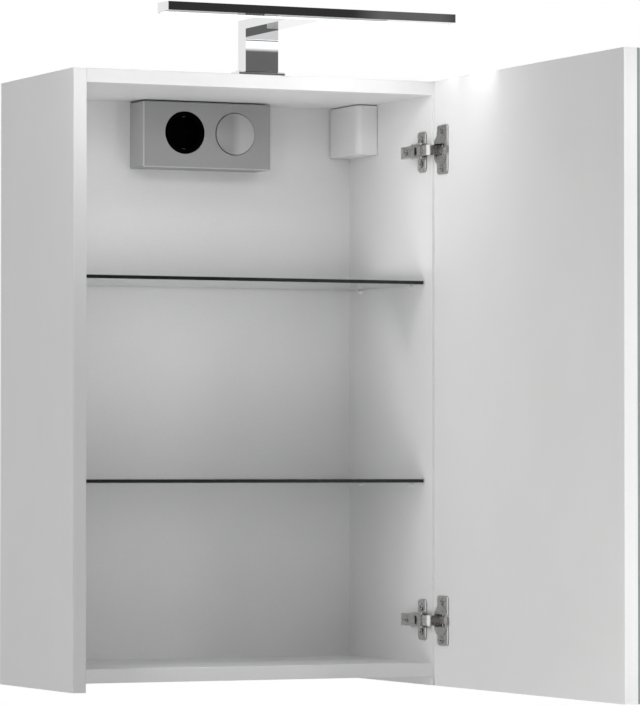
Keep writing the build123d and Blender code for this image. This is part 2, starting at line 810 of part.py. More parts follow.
def hanger_screws(side):
    """Two screws that hold the hanger to the side panel."""
    with BuildPart() as screws:
        for y in hanger_screw_y:
            seat = (side * (inner_x - hanger_wall), y, hanger_screw_z)
            length = hanger_wall + hanger_screw_length
            head_radius = hanger_screw_head_radius
            head_height = hanger_screw_head_height
            pan_screw(seat, (side, 0, 0), hanger_screw_radius, length, head_radius, head_height)
    return screws


def hanger_hook(side):
    """Bar on the height screw, with a tongue turned down behind the wall rail."""
    bar_x = (side * hook_x - hook_width / 2, side * hook_x + hook_width / 2)
    bar_z = (hook_z - hook_bar_height / 2, hook_z + hook_bar_height / 2)
    with BuildPart() as hook:
        slab(bar_x, (adjuster_y - hook_bar_height, -hook_inset), bar_z)
        slab(bar_x, (-hook_inset - hook_thickness, -hook_inset), (bar_z[0] - hook_drop, bar_z[0]))
        bore = adjuster_radius + fixing_clearance
        rod((side * hook_x, adjuster_y, bar_z[0]), (0, 0, 1), bore, hook_bar_height, Mode.SUBTRACT)
    return hook


def height_screw(side):
    """Vertical screw that carries the hook, turned from below."""
    low_z = hanger_top_z - hanger_height
    with BuildPart() as screw:
        seat = (side * hook_x, adjuster_y, low_z)
        head_radius = adjuster_head_radius
        pan_screw(seat, (0, 0, 1), adjuster_radius, hanger_height, head_radius, adjuster_head_height)
    return screw


def hanger_cap(side):
    """Plastic cap close to the back and side panels, open on those sides and on top."""
    outer = side * (inner_x - cap_side_gap)
    inner = side * (inner_x - cap_width)
    front = back_face_y - cap_depth
    high_z = ceiling_z - cap_top_gap
    low_z = high_z - cap_height
    with BuildPart() as cap:
        slab(sorted([inner, outer]), (front, back_face_y - cap_back_gap), (low_z, high_z))
        upright_edges = cap.edges().filter_by(Axis.Z)
        front_edge = upright_edges.sort_by_distance((inner, front, low_z))[0]
        fillet(front_edge, cap_corner)
        wall_x = sorted([side * (inner_x - cap_width + cap_wall), outer])
        with BuildSketch(Plane.XY.offset(low_z + cap_wall)) as hollow:
            middle = (wall_x[0] + wall_x[1]) / 2
            with Locations((middle, (front + cap_wall + back_face_y) / 2)):
                Rectangle(wall_x[1] - wall_x[0], cap_depth - cap_wall)
            corner = hollow.vertices().sort_by_distance((inner, front))[0]
            fillet(corner, cap_corner - cap_wall)
        extrude(hollow.sketch, amount=cap_height, mode=Mode.SUBTRACT)
    return cap


hanger_pieces = {
    "hanger_body": hanger_body,
    "hanger_screws": hanger_screws,
    "hanger_hook": hanger_hook,
    "height_screw": height_screw,
    "hanger_cap": hanger_cap,
}
for side_name, side in (("left", -1), ("right", 1)):
    for piece, make in hanger_pieces.items():
        save(make(side), f"{piece}_{side_name}")

# Lamp: base plate screwed to the top panel, square arm, and a wedge-shaped bar whose
# underside is a white diffuser over a row of light-emitting diodes
bar_front_y = front_y - lamp_bar_reach
bar_back_y = bar_front_y + lamp_bar_depth
bar_top_z = top_z + lamp_bar_top
bar_half = lamp_bar_width / 2
bar_left_x = lamp_centre_x - bar_half
arm_top_z = bar_top_z - lamp_arm_drop
arm_low_z = arm_top_z - lamp_arm_thickness
base_top_z = top_z + lamp_base_thickness
post_front_y = front_y + lamp_post_setback
post_back_y = post_front_y + lamp_post_depth
arm_half_width = lamp_arm_width / 2


def bar_section(inset, roof):
    """Side outline of the bar in the YZ plane, moved in by a wall and a roof thickness."""
    front = bar_front_y + inset
    back = bar_back_y - inset
    with BuildLine() as outline:
        Polyline(
            (front, bar_top_z - lamp_bar_top_slope - roof),
            (back, bar_top_z - roof),
            (back, bar_top_z - lamp_bar_back_height),
            (front, bar_top_z - lamp_bar_top_slope - lamp_bar_front_height),
            close=True,
        )
    make_face(outline.edges())


with BuildPart() as lamp_housing:
    with BuildSketch(Plane.YZ.offset(bar_left_x + lamp_end_cap_thickness)):
        bar_section(0, 0)
    extrude(amount=lamp_bar_width - 2 * lamp_end_cap_thickness)
    long_edges = lamp_housing.edges().filter_by(Axis.X)
    fillet(long_edges.group_by(Axis.Z)[-1], lamp_bar_edge_round)
    with BuildSketch(Plane.YZ.offset(bar_left_x)):
        bar_section(lamp_bar_wall, lamp_bar_wall)
    extrude(amount=lamp_bar_width, mode=Mode.SUBTRACT)
    duct_x = (lamp_centre_x - lamp_duct_width / 2, lamp_centre_x + lamp_duct_width / 2)
    duct_middle_z = (arm_low_z + arm_top_z) / 2
    duct_z = (duct_middle_z - lamp_duct_height / 2, duct_middle_z + lamp_duct_height / 2)
    slab(duct_x, (bar_back_y - lamp_bar_wall, bar_back_y), duct_z, Mode.SUBTRACT)
save(lamp_housing, "lamp_housing")

with BuildPart() as lamp_end_caps:
    for start in (bar_left_x, bar_left_x + lamp_bar_width - lamp_end_cap_thickness):
        with BuildSketch(Plane.YZ.offset(start)):
            bar_section(0, 0)
        extrude(amount=lamp_end_cap_thickness)
save(lamp_end_caps, "lamp_end_caps")

# Diffuser sheet set into the open underside, following its slope
diffuser_half = bar_half - lamp_end_cap_thickness
with BuildPart() as lamp_diffuser:
    with BuildSketch(Plane.YZ.offset(lamp_centre_x - diffuser_half)):
        with BuildLine():
            front = bar_front_y + lamp_bar_wall + lamp_diffuser_side_gap
            back = bar_back_y - lamp_bar_wall - lamp_diffuser_side_gap
            front_z = bar_top_z - lamp_bar_top_slope - lamp_bar_front_height
            back_z = bar_top_z - lamp_bar_back_height
            Polyline(
                (front, front_z),
                (back, back_z),
                (back, back_z + lamp_diffuser_thickness),
                (front, front_z + lamp_diffuser_thickness),
                close=True,
            )
        make_face()
    extrude(amount=2 * diffuser_half)
save(lamp_diffuser, "lamp_diffuser")

# Circuit board under the roof of the bar, with its diodes facing down
with BuildPart() as led_board:
    board_top_z = bar_top_z - lamp_bar_top_slope - lamp_bar_wall
    board_middle_y = (bar_front_y + bar_back_y) / 2
    board_y = (board_middle_y - lamp_board_width / 2, board_middle_y + lamp_board_width / 2)
    board_x = (lamp_centre_x - diffuser_half, lamp_centre_x + diffuser_half)
    slab(board_x, board_y, (board_top_z - lamp_board_thickness, board_top_z))
    led_pitch = 2 * diffuser_half / lamp_led_count
    led_plane = Plane.XY.offset(board_top_z - lamp_board_thickness)
    with BuildSketch(led_plane):
        with Locations((lamp_centre_x, board_middle_y)):
            with GridLocations(led_pitch, 1, lamp_led_count, 1):
                Rectangle(lamp_led_size, lamp_led_size)
    extrude(amount=-lamp_led_height)
save(led_board, "led_board")

with BuildPart() as lamp_arm:
    arm_x = (lamp_centre_x - arm_half_width, lamp_centre_x + arm_half_width)
    slab(arm_x, (bar_back_y, post_back_y), (arm_low_z, arm_top_z))
    slab(arm_x, (post_front_y, post_back_y), (base_top_z, arm_top_z))
    outside_edges = lamp_arm.edges().filter_by(Axis.X).group_by(Axis.Z)[-1]
    fillet(outside_edges.sort_by(Axis.Y)[-1], lamp_arm_corner)
    slab(duct_x, (bar_back_y, post_front_y + lamp_post_depth / 2), duct_z, Mode.SUBTRACT)
    post_duct_y = (post_front_y + lamp_post_depth / 2 - lamp_duct_height, post_front_y + lamp_post_depth / 2)
    slab(duct_x, post_duct_y, (base_top_z, duct_z[1]), Mode.SUBTRACT)
save(lamp_arm, "lamp_arm")

with BuildPart() as lamp_base:
    base_plane = Plane(origin=(lamp_centre_x, lamp_base_y, top_z))
    with BuildSketch(base_plane):
        RectangleRounded(lamp_base_width, lamp_base_depth, lamp_base_corner)
    extrude(amount=lamp_base_thickness)
    chamfer(lamp_base.faces().sort_by(Axis.Z)[-1].edges(), lamp_base_bevel)
    slab(duct_x, post_duct_y, (top_z, base_top_z), Mode.SUBTRACT)
    for screw_x in lamp_screw_x:
        bore = lamp_screw_radius + fixing_clearance
        rod((screw_x, lamp_base_y, top_z), (0, 0, 1), bore, lamp_base_thickness, Mode.SUBTRACT)
save(lamp_base, "lamp_base")

with BuildPart() as lamp_screws:
    for screw_x in lamp_screw_x:
        seat = (screw_x, lamp_base_y, base_top_z)
        length = lamp_base_thickness + lamp_screw_length
        pan_screw(seat, (0, 0, -1), lamp_screw_radius, length, lamp_screw_head_radius, lamp_screw_head_height)
save(lamp_screws, "lamp_screws")

# Socket and switch box, against the back panel and just under the top panel
box_top_z = ceiling_z - box_top_gap
box_low_z = box_top_z - box_height
box_middle_z = (box_top_z + box_low_z) / 2
box_front_y = back_face_y - box_depth
box_floor_y = back_face_y - box_wall
cover_back_y = box_front_y + box_cover_thickness
fitting_z = box_middle_z + fitting_rise
socket_x = box_centre_x + fitting_offset - fitting_spacing / 2
button_x = box_centre_x + fitting_offset + fitting_spacing / 2
well_floor_y = box_front_y + socket_well_depth
insert_back_y = well_floor_y + insert_wall
inward = (0, 1, 0)


def box_outline(inset):
    """Rounded front outline of the box, moved in all round."""
    with Locations((box_centre_x, box_middle_z)):
        width = box_width - 2 * inset
        height = box_height - 2 * inset
        RectangleRounded(width, height, max(box_corner - inset, box_least_corner))


def front_plane(y):
    """Plane facing the wall at a depth, with X to the right and Z up."""
    return Plane(origin=(0, y, 0), x_dir=(1, 0, 0), z_dir=(0, -1, 0))


with BuildPart() as box_housing:
    with BuildSketch(front_plane(back_face_y)):
        box_outline(0)
    extrude(amount=back_face_y - cover_back_y)
    with BuildSketch(front_plane(box_floor_y)):
        box_outline(box_wall)
    extrude(amount=box_depth, mode=Mode.SUBTRACT)
    grommet_clear = grommet_flange_radius + button_gap
    rod((grommet_x, box_floor_y, grommet_z), inward, grommet_clear, box_wall, Mode.SUBTRACT)
    for offset in (-box_screw_spacing / 2, box_screw_spacing / 2):
        start = (box_centre_x + offset, box_floor_y, box_middle_z - box_screw_drop)
        rod(start, inward, box_screw_radius + fixing_clearance, box_wall, Mode.SUBTRACT)
save(box_housing, "box_housing")

with BuildPart() as box_screws:
    for offset in (-box_screw_spacing / 2, box_screw_spacing / 2):
        seat = (box_centre_x + offset, box_floor_y, box_middle_z - box_screw_drop)
        length = box_wall + box_screw_bite
        pan_screw(seat, inward, box_screw_radius, length, box_screw_head_radius, box_screw_head_height)
save(box_screws, "box_screws")

# Front cover with a locating lip inside the housing and two round openings
with BuildPart() as box_cover:
    with BuildSketch(front_plane(cover_back_y)):
        box_outline(0)
    extrude(amount=box_cover_thickness)
    chamfer(box_cover.faces().sort_by(Axis.Y)[0].edges(), box_cover_chamfer)
    lip_inset = box_wall + box_lip_clearance
    with BuildSketch(front_plane(cover_back_y + box_lip_depth)):
        box_outline(lip_inset)
        with Locations((box_centre_x, box_middle_z)):
            lip_opening = lip_inset + box_lip_wall
            Rectangle(box_width - 2 * lip_opening, box_height - 2 * lip_opening, mode=Mode.SUBTRACT)
    extrude(amount=box_lip_depth)
    for fitting_x in (socket_x, button_x):
        start = (fitting_x, box_front_y, fitting_z)
        rod(start, inward, fitting_radius, box_cover_thickness, Mode.SUBTRACT)
save(box_cover, "box_cover")

# Socket insert: a flange in the opening, a retaining collar behind the cover and a well
with BuildPart() as socket_insert:
    flange_radius = fitting_radius - insert_gap
    rod((socket_x, box_front_y, fitting_z), inward, flange_radius, box_cover_thickness)
    collar_radius = fitting_radius + insert_wall
    rod((socket_x, cover_back_y, fitting_z), inward, collar_radius, insert_flange_thickness)
    body_radius = socket_well_radius + insert_wall
    body_length = socket_well_depth + insert_wall
    rod((socket_x, box_front_y, fitting_z), inward, body_radius, body_length)
    well_start = (socket_x, box_front_y, fitting_z)
    rod(well_start, inward, socket_well_radius, socket_well_depth, Mode.SUBTRACT)
    for offset in (-contact_spacing / 2, contact_spacing / 2):
        start = (socket_x + offset, well_floor_y, fitting_z)
        rod(start, inward, contact_hole_radius, insert_wall, Mode.SUBTRACT)
    clip_slot = earth_clip_width / 2 + earth_clip_gap
    clip_outer = socket_well_radius - earth_clip_gap
    clip_inner = clip_outer - earth_clip_thickness - 2 * earth_clip_gap
    for side in (-1, 1):
        slab(
            (socket_x - clip_slot, socket_x + clip_slot),
            (well_floor_y, insert_back_y),
            sorted([fitting_z + side * clip_inner, fitting_z + side * socket_well_radius]),
            Mode.SUBTRACT,
        )
save(socket_insert, "socket_insert")

with BuildPart() as contact_sleeves:
    for offset in (-contact_spacing / 2, contact_spacing / 2):
        start = (socket_x + offset, insert_back_y, fitting_z)
        rod(start, inward, sleeve_radius, sleeve_length)
        rod(start, inward, sleeve_bore_radius, sleeve_length, Mode.SUBTRACT)
save(contact_sleeves, "contact_sleeves")

with BuildPart() as earth_clips:
    for side in (-1, 1):
        slab(
            (socket_x - earth_clip_width / 2, socket_x + earth_clip_width / 2),
            (box_front_y + earth_clip_lead, insert_back_y + earth_clip_tail),
            sorted([
                fitting_z + side * (clip_outer - earth_clip_gap),
                fitting_z + side * (clip_outer - earth_clip_gap - earth_clip_thickness),
            ]),
        )
save(earth_clips, "earth_clips")

# Round push button: a domed cap with a skirt and a stem that enters the switch module
module_front_y = box_floor_y - switch_module_depth
button_radius = fitting_radius - button_gap
stem_end_y = module_front_y + button_stem_entry
with BuildPart() as switch_button:
    with BuildSketch(Plane(origin=(button_x, 0, fitting_z), x_dir=(1, 0, 0), z_dir=(0, 0, 1))):
        with BuildLine():
            rim_y = box_front_y - button_rim_height
            apex_y = rim_y - button_dome
            skirt_y = box_front_y + button_skirt
            inner_radius = button_radius - button_shell
            ThreePointArc(
                (0, apex_y),
                (button_radius / 2, rim_y - button_dome * button_dome_share),
                (button_radius, rim_y),
            )
            Line((button_radius, rim_y), (button_radius, skirt_y))
            Line((button_radius, skirt_y), (inner_radius, skirt_y))
            Line((inner_radius, skirt_y), (inner_radius, rim_y + button_shell))
            Line((inner_radius, rim_y + button_shell), (button_stem_radius, rim_y + button_shell))
            Line((button_stem_radius, rim_y + button_shell), (button_stem_radius, stem_end_y))
            Line((button_stem_radius, stem_end_y), (0, stem_end_y))
            Line((0, stem_end_y), (0, apex_y))
        make_face()
    revolve(axis=Axis((button_x, 0, fitting_z), (0, 1, 0)))
save(switch_button, "switch_button")

with BuildPart() as switch_module:
    with BuildSketch(front_plane(box_floor_y)):
        with Locations((button_x, fitting_z)):
            RectangleRounded(switch_module_size, switch_module_size, switch_module_corner)
    extrude(amount=switch_module_depth)
    bore = button_stem_radius + button_stem_clearance
    bore_depth = button_stem_entry + button_travel + 2 * button_gap
    rod((button_x, module_front_y, fitting_z), inward, bore, bore_depth, Mode.SUBTRACT)
save(switch_module, "switch_module")

# Power supply of the lamp and mains terminals, on the floor of the housing
box_inner_low_z = box_low_z + box_wall
with BuildPart() as led_driver:
    driver_x = box_centre_x + driver_offset
    slab(
        (driver_x - driver_width / 2, driver_x + driver_width / 2),
        (box_floor_y - driver_depth, box_floor_y),
        (box_inner_low_z, box_inner_low_z + driver_height),
    )
    chamfer(led_driver.faces().sort_by(Axis.Y)[0].edges(), box_cover_chamfer)
save(led_driver, "led_driver")

with BuildPart() as terminal_block:
    terminal_x = box_centre_x + terminal_offset
    terminal_front_y = box_floor_y - terminal_depth
    slab(
        (terminal_x - terminal_width / 2, terminal_x + terminal_width / 2),
        (terminal_front_y, box_floor_y),
        (box_inner_low_z, box_inner_low_z + terminal_height),
    )
    way_pitch = terminal_width / terminal_way_count
    with BuildSketch(front_plane(terminal_front_y)):
        with Locations((terminal_x, box_inner_low_z + terminal_height / 2)):
            with GridLocations(way_pitch, 1, terminal_way_count, 1):
                Circle(terminal_way_radius)
    extrude(amount=-terminal_depth / 2, mode=Mode.SUBTRACT)
save(terminal_block, "terminal_block")
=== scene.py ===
import json
import math

import bpy
from mathutils import Euler, Matrix, Vector

# Looks of the mirror cabinet: materials for the carried-over parts, studio and camera.
# Metres, in the frame of the CAD: origin at the centre of the wall face, X to the right,
# Y into the wall, Z up.

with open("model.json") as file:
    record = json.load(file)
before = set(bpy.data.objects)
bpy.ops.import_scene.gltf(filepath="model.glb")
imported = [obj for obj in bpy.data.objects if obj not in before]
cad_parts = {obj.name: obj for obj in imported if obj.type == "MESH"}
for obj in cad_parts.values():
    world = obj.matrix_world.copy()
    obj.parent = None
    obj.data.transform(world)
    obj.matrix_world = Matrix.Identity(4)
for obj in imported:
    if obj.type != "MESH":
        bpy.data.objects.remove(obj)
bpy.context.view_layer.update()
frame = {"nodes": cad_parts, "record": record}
nodes = frame["nodes"]

# Camera, from the vanishing points and the known size of the carcass
camera_place = (-2.0402, -4.8635, -0.1013)
camera_yaw = 24.517
camera_pitch = 1.519
camera_lens = 226.9
camera_sensor = 36.0
camera_far = 60.0

# Studio
floor_height = -1.25
floor_radius = 9.0
floor_sides = 96
floor_lift = 0.45
ambient = 0.12

# Limits on the parts of a unit normal that tell which way a face looks
square_on = 0.9
front_facing_limit = 0.97
sheet_face = 0.6
slope_least = 0.5
bevel_highlight_toward = 0.4

# Share of the base colour left in deep corners by painted shade, and how a finish blends its fine
# grain with broad clouds of tone
corner_shade_share = 0.06
grain_share, cloud_share = 0.6, 0.4
cloud_scale = 9.0


class Graph:
    """Short calls for building the nodes of one material."""

    def __init__(self, name):
        self.material = bpy.data.materials.new(name)
        self.material.use_nodes = True
        self.tree = self.material.node_tree
        self.shader = self.tree.nodes["Principled BSDF"]
        self.output = self.tree.nodes["Material Output"]
        self.place = self.add("ShaderNodeTexCoord")

    def add(self, kind, **settings):
        node = self.tree.nodes.new(kind)
        for key, value in settings.items():
            setattr(node, key, value)
        return node

    def link(self, source, target):
        self.tree.links.new(source, target)

    def feed(self, socket, value):
        """Sets a socket to a plain value or links it to another node's output."""
        if isinstance(value, bpy.types.NodeSocket):
            self.link(value, socket)
        else:
            socket.default_value = value

    def math(self, operation, *values):
        node = self.add("ShaderNodeMath", operation=operation)
        for socket, value in zip(node.inputs, values):
            self.feed(socket, value)
        return node.outputs[0]

    def scaled(self, stretch):
        node = self.add("ShaderNodeMapping")
        self.link(self.place.outputs["Object"], node.inputs["Vector"])
        node.inputs["Scale"].default_value = stretch
        return node.outputs[0]

    def noise(self, scale, detail=3.0, stretch=(1, 1, 1)):
        node = self.add("ShaderNodeTexNoise")
        self.link(self.scaled(stretch), node.inputs["Vector"])
        node.inputs["Scale"].default_value = scale
        node.inputs["Detail"].default_value = detail
        return node.outputs["Fac"]

    def spread(self, value, low, high, start=0.3, end=0.7):
        """Maps a value between start and end onto low to high."""
        node = self.add("ShaderNodeMapRange")
        self.feed(node.inputs["Value"], value)
        node.inputs["From Min"].default_value = start
        node.inputs["From Max"].default_value = end
        node.inputs["To Min"].default_value = low
        node.inputs["To Max"].default_value = high
        return node.outputs["Result"]

    def mix(self, factor, first, second):
        node = self.add("ShaderNodeMix", data_type="RGBA")
        self.feed(node.inputs["Factor"], factor)
        for socket, value in ((node.inputs[6], first), (node.inputs[7], second)):
            self.feed(socket, value if isinstance(value, bpy.types.NodeSocket) else (*value, 1.0))
        return node.outputs[2]

    def parts(self, vector):
        node = self.add("ShaderNodeSeparateXYZ")
        self.link(vector, node.inputs[0])
        return node.outputs

    def bump(self, height, strength, distance):
        node = self.add("ShaderNodeBump")
        node.inputs["Strength"].default_value = strength
        node.inputs["Distance"].default_value = distance
        self.link(height, node.inputs["Height"])
        self.link(node.outputs["Normal"], self.shader.inputs["Normal"])

    def set(self, **values):
        names = {
            "color": "Base Color",
            "metal": "Metallic",
            "rough": "Roughness",
            "ior": "IOR",
            "clear": "Transmission Weight",
            "under": "Subsurface Weight",
            "level": "Specular IOR Level",
            "glow": "Emission Strength",
        }
        for key, value in values.items():
            socket = self.shader.inputs[names[key]]
            if key == "color" and not isinstance(value, bpy.types.NodeSocket):
                value = (*value, 1.0)
            self.feed(socket, value)


def grey(level, tint=(1.0, 1.0, 1.0)):
    return tuple(level * share for share in tint)


def shade(base, share):
    return tuple(value * share for value in base)


def speckled(
    name, base, spread, scale, rough, bump, stretch=(1, 1, 1), shade_reach=0.0, front_shade=1.0, **settings
):
    """Finish with a fine grain: colour and roughness vary a little, and the bump follows.
    A reach in metres adds painted shade that darkens corners and hollows, and a share under 1
    paints a dark reflection onto the faces that look toward the front of the cabinet in the pose
    of the file, such as the edges of sheet."""
    graph = Graph(name)
    grain = graph.noise(scale, stretch=stretch)
    clouds = graph.noise(cloud_scale, detail=2.0)
    fine = graph.math("MULTIPLY", grain, grain_share)
    blend = graph.math("ADD", fine, graph.math("MULTIPLY", clouds, cloud_share))
    factor = graph.spread(blend, 0.0, 1.0, 0.35, 0.65)
    low = tuple(max(0.0, value * (1 - spread)) for value in base)
    high = tuple(min(1.0, value * (1 + spread)) for value in base)
    color = graph.mix(factor, low, high)
    # Painted shade: within the reach, corners and hollows are darkened toward a small share of the
    # base colour, where shade falls
    if shade_reach:
        corner_occlusion = graph.add("ShaderNodeAmbientOcclusion", samples=8)
        corner_occlusion.inputs["Distance"].default_value = shade_reach
        shade_depth = graph.spread(corner_occlusion.outputs["AO"], 0.0, 1.0, 0.25, 0.85)
        color = graph.mix(shade_depth, shade(base, corner_shade_share), color)
    # Painted dark reflection: faces that look toward the front of the cabinet in the pose of the
    # file are darkened to the given share of the base colour
    if front_shade < 1.0:
        forward = graph.parts(graph.place.outputs["Normal"])[1]
        faces_front = graph.math("LESS_THAN", forward, -front_facing_limit)
        color = graph.mix(faces_front, color, shade(base, front_shade))
    graph.set(color=color, rough=graph.spread(grain, rough[0], rough[1]), **settings)
    graph.bump(grain, bump[0], bump[1])
    return graph


def glass(name, tint, edge_tint, edge_axis):
    """Clear sheet whose ground edges are dark: the edges are the faces off the given axis."""
    graph = Graph(name)
    normal = graph.parts(graph.place.outputs["Normal"])[edge_axis]
    face = graph.math("GREATER_THAN", graph.math("ABSOLUTE", normal), sheet_face)
    edge_rough = graph.spread(face, 0.22, 0.0, 0.0, 1.0)
    film = graph.spread(graph.noise(6.0, detail=4.0), 0.0, 0.012)
    graph.set(
        color=graph.mix(face, edge_tint, tint),
        clear=graph.spread(face, 0.0, 1.0, 0.0, 1.0),
        rough=graph.math("ADD", edge_rough, film),
        ior=1.5,
    )
    graph.bump(graph.noise(700.0), 0.02, 0.0001)
    return graph


materials = {}
white_tint = (1.0, 1.0, 0.998)
materials["white_board"] = speckled(
    "white_melamine", grey(0.82, white_tint), 0.022, 750.0, (0.42, 0.52), (0.14, 0.00015)
)
materials["back_board"] = speckled(
    "white_fibreboard", grey(0.82, white_tint), 0.026, 650.0, (0.5, 0.6), (0.16, 0.00015)
)
materials["dowel_wood"] = speckled(
    "beech", (0.52, 0.33, 0.17), 0.12, 260.0, (0.6, 0.75), (0.2, 0.0004), (0.08, 1, 1)
)
materials["zinc_fitting"] = speckled(
    "zinc_plated_steel", grey(0.5), 0.06, 500.0, (0.3, 0.42), (0.1, 0.0001), metal=1.0
)
materials["rubber_black"] = speckled(
    "black_rubber", grey(0.02), 0.2, 900.0, (0.6, 0.75), (0.2, 0.0001)
)
materials["shelf_glass"] = glass("float_glass", (0.95, 0.98, 0.97), (0.004, 0.006, 0.006), 2)
# Satin nickel with painted shade in its corners and a painted dark reflection on its front-facing
# faces
materials["hinge_nickel"] = speckled(
    "satin_nickel", grey(0.72, (1.0, 0.99, 0.975)), 0.05, 900.0, (0.24, 0.34), (0.08, 0.0001),
    shade_reach=0.005, front_shade=0.4, metal=1.0
)
# Dark nickel with painted shade in its corners
materials["hinge_dark"] = speckled(
    "dark_nickel", grey(0.85, (1.0, 0.99, 0.98)), 0.06, 700.0, (0.2, 0.3), (0.08, 0.0001),
    shade_reach=0.002, metal=1.0
)
materials["cap_plastic"] = speckled(
    "white_moulded_plastic", grey(0.84), 0.012, 1100.0, (0.5, 0.6), (0.1, 0.0001), level=0.15
)
materials["lamp_chrome"] = speckled(
    "polished_chrome", grey(0.78, (1.0, 1.0, 1.01)), 0.01, 60.0, (0.004, 0.012), (0.001, 0.00001),
    metal=1.0
)
materials["diffuser_plastic"] = speckled(
    "opal_plastic", grey(0.86), 0.01, 800.0, (0.4, 0.5), (0.06, 0.0001), under=0.2, glow=0.6
)
materials["board_white"] = speckled(
    "white_circuit_board", grey(0.72), 0.03, 600.0, (0.4, 0.5), (0.1, 0.0001)
)


def silver_paint():
    """Silver-grey paint of the box with painted light: its left side is painted paler, its right
    side a little paler, and a painted highlight runs along the left and lower bevels."""
    graph = Graph("silver_grey_paint")
    grain = graph.noise(1500.0)
    sideways, forward, upward = graph.parts(graph.place.outputs["Normal"])
    facing = graph.math("ABSOLUTE", forward)
    toward = graph.math("MULTIPLY", graph.math("ADD", sideways, upward), -1.0)
    slanting = graph.math(
        "MULTIPLY",
        graph.math("LESS_THAN", facing, square_on),
        graph.math("GREATER_THAN", facing, slope_least),
    )
    bevel_highlight = graph.math("MULTIPLY", slanting, graph.math("GREATER_THAN", toward, bevel_highlight_toward))
    left = graph.math("LESS_THAN", sideways, -square_on)
    right = graph.math("GREATER_THAN", sideways, square_on)
    level = graph.spread(grain, 0.345, 0.385)
    # Painted light: the left side and, less strongly, the right side are painted paler, and a
    # painted highlight runs along the left and lower bevels
    for painted_light_mask, extra in ((left, 0.14), (bevel_highlight, 0.28), (right, 0.07)):
        level = graph.math("MULTIPLY_ADD", painted_light_mask, extra, level)
    graph.set(color=level, rough=graph.spread(grain, 0.42, 0.52), metal=0.3)
    graph.bump(grain, 0.12, 0.0001)
    return graph


def satin_button():
    """Satin silver of the button, with painted shade that makes the left half a little darker."""
    graph = Graph("silver_satin")
    grain = graph.noise(1500.0)
    across = graph.parts(graph.place.outputs["Generated"])[0]
    # Painted shade: the tone rises from the darker left half of the button to the lighter right
    # half
    tone = graph.spread(across, 0.352, 0.505, 0.40, 0.62)
    level = graph.math("ADD", tone, graph.spread(grain, -0.012, 0.012))
    graph.set(color=level, rough=graph.spread(grain, 0.34, 0.42), metal=0.3)
    graph.bump(grain, 0.06, 0.0001)
    return graph


materials["box_silver"] = silver_paint()
materials["socket_black"] = speckled(
    "black_plastic", grey(0.0015), 0.2, 900.0, (0.5, 0.6), (0.1, 0.0001), level=0.0
)
# Brass with painted shade in its corners
materials["contact_brass"] = speckled(
    "brass", (0.3, 0.21, 0.1), 0.06, 500.0, (0.25, 0.35), (0.08, 0.0001), shade_reach=0.05, metal=1.0
)
materials["button_silver"] = satin_button()
materials["module_grey"] = speckled(
    "grey_moulded_plastic", grey(0.22), 0.05, 700.0, (0.5, 0.6), (0.12, 0.0001)
)


def mirror_sheet():
    """Silvered mirror: bright outer face, darker ground edges and a grey coat on the rear face."""
    graph = Graph("silvered_mirror")
    normal = graph.parts(graph.place.outputs["Normal"])[0]
    face = graph.math("GREATER_THAN", normal, sheet_face)
    edge_rough = graph.spread(face, 0.2, 0.0, 0.0, 1.0)
    haze = graph.spread(graph.noise(3.0, detail=4.0), 0.004, 0.014)
    graph.set(
        color=graph.mix(face, (0.27, 0.29, 0.285), (0.86, 0.88, 0.88)),
        metal=face,
        rough=graph.math("ADD", edge_rough, haze),
    )
    graph.bump(graph.noise(2.0, detail=1.0), 0.01, 0.0002)
    return graph


materials["mirror_glass"] = mirror_sheet()

slot_of_node = {row["node"]: row["material_slot"] for row in frame["record"]["subparts"]}
for name, node in nodes.items():
    for entry in node.material_slots:
        entry.material = materials[slot_of_node[name]].material

# Studio: pale floor, white surroundings and soft lights
bpy.ops.mesh.primitive_circle_add(
    vertices=floor_sides, radius=floor_radius, fill_type="NGON", location=(0, 0, floor_height)
)
floor = bpy.context.object
floor.name = "studio_floor"
floor_graph = Graph("studio_floor_paint")
floor_grain = floor_graph.noise(40.0)
floor_graph.set(color=floor_graph.mix(floor_grain, grey(0.86), grey(0.9)), rough=0.8)
floor_path = floor_graph.add("ShaderNodeLightPath")
floor_glow = floor_graph.add("ShaderNodeEmission")
floor_level = floor_graph.math("MULTIPLY", floor_path.outputs["Is Camera Ray"], floor_lift)
floor_graph.link(floor_level, floor_glow.inputs["Strength"])
floor_sum = floor_graph.add("ShaderNodeAddShader")
floor_graph.link(floor_graph.shader.outputs[0], floor_sum.inputs[0])
floor_graph.link(floor_glow.outputs[0], floor_sum.inputs[1])
floor_graph.link(floor_sum.outputs[0], floor_graph.output.inputs["Surface"])
floor.data.materials.append(floor_graph.material)

world = bpy.data.worlds.new("studio_world")
bpy.context.scene.world = world
world.use_nodes = True
world_tree = world.node_tree
backdrop = world_tree.nodes["Background"]
backdrop.inputs["Color"].default_value = (1, 1, 1, 1)
path = world_tree.nodes.new("ShaderNodeLightPath")
seen = path.outputs["Is Camera Ray"]
for other in ("Is Glossy Ray", "Is Transmission Ray"):
    larger = world_tree.nodes.new("ShaderNodeMath")
    larger.operation = "MAXIMUM"
    world_tree.links.new(seen, larger.inputs[0])
    world_tree.links.new(path.outputs[other], larger.inputs[1])
    seen = larger.outputs[0]
strength = world_tree.nodes.new("ShaderNodeMapRange")
world_tree.links.new(seen, strength.inputs["Value"])
strength.inputs["To Min"].default_value = ambient
strength.inputs["To Max"].default_value = 1.0
world_tree.links.new(strength.outputs["Result"], backdrop.inputs["Strength"])


def area_light(name, place, target, size, power):
    """Rectangular soft light aimed at a target, seen neither directly nor in reflections."""
    lamp = bpy.data.lights.new(name, "AREA")
    lamp.shape = "RECTANGLE"
    lamp.size, lamp.size_y = size
    lamp.energy = power
    holder = bpy.data.objects.new(name, lamp)
    bpy.context.scene.collection.objects.link(holder)
    holder.location = place
    aim = Vector(target) - Vector(place)
    holder.rotation_euler = aim.to_track_quat("-Z", "Y").to_euler()
    holder.visible_glossy = False
    holder.visible_transmission = False
    holder.visible_camera = False


